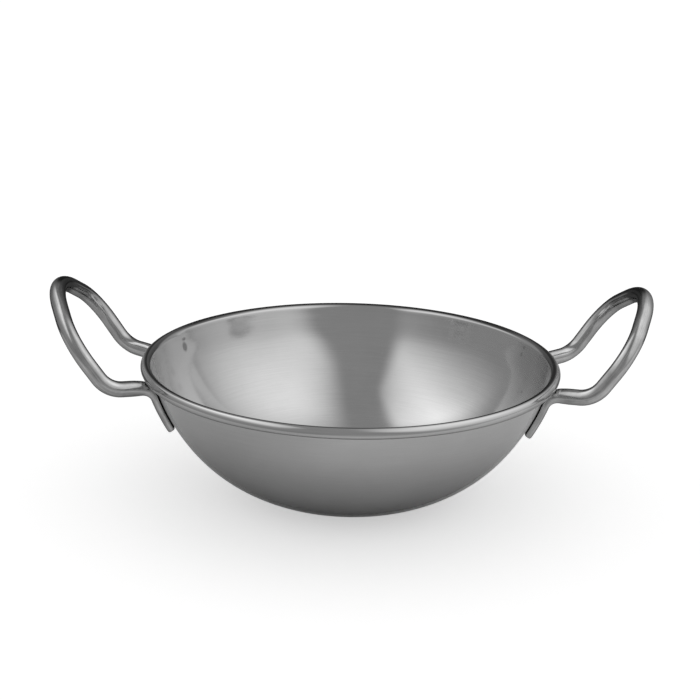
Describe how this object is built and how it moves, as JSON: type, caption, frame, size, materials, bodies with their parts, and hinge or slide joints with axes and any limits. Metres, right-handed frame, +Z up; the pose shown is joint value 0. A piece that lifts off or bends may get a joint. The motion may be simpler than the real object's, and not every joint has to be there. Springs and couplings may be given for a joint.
{
  "type": "kadai",
  "caption": "Small round-bottomed steel kadai: open bowl with a rolled rim and two upright bent-rod loop handles spot-welded below the rim.",
  "frame": {"origin": "centre of the flat base, on the surface that the bowl stands on", "axes": "+Z up along the bowl's axis, +X and -X through the two handles"},
  "size_m": [0.2272, 0.16, 0.0825],
  "materials": {
    "bowl_steel": "satin polished stainless steel with fine spun lines",
    "handle_steel": "polished stainless steel rod",
    "weld_metal": "dull fused weld metal"
  },
  "bodies": {
    "root": {"bowl": "bowl_steel", "handle_left": "handle_steel", "handle_right": "handle_steel", "spot_welds_left": "weld_metal", "spot_welds_right": "weld_metal"}
  },
  "joints": []
}
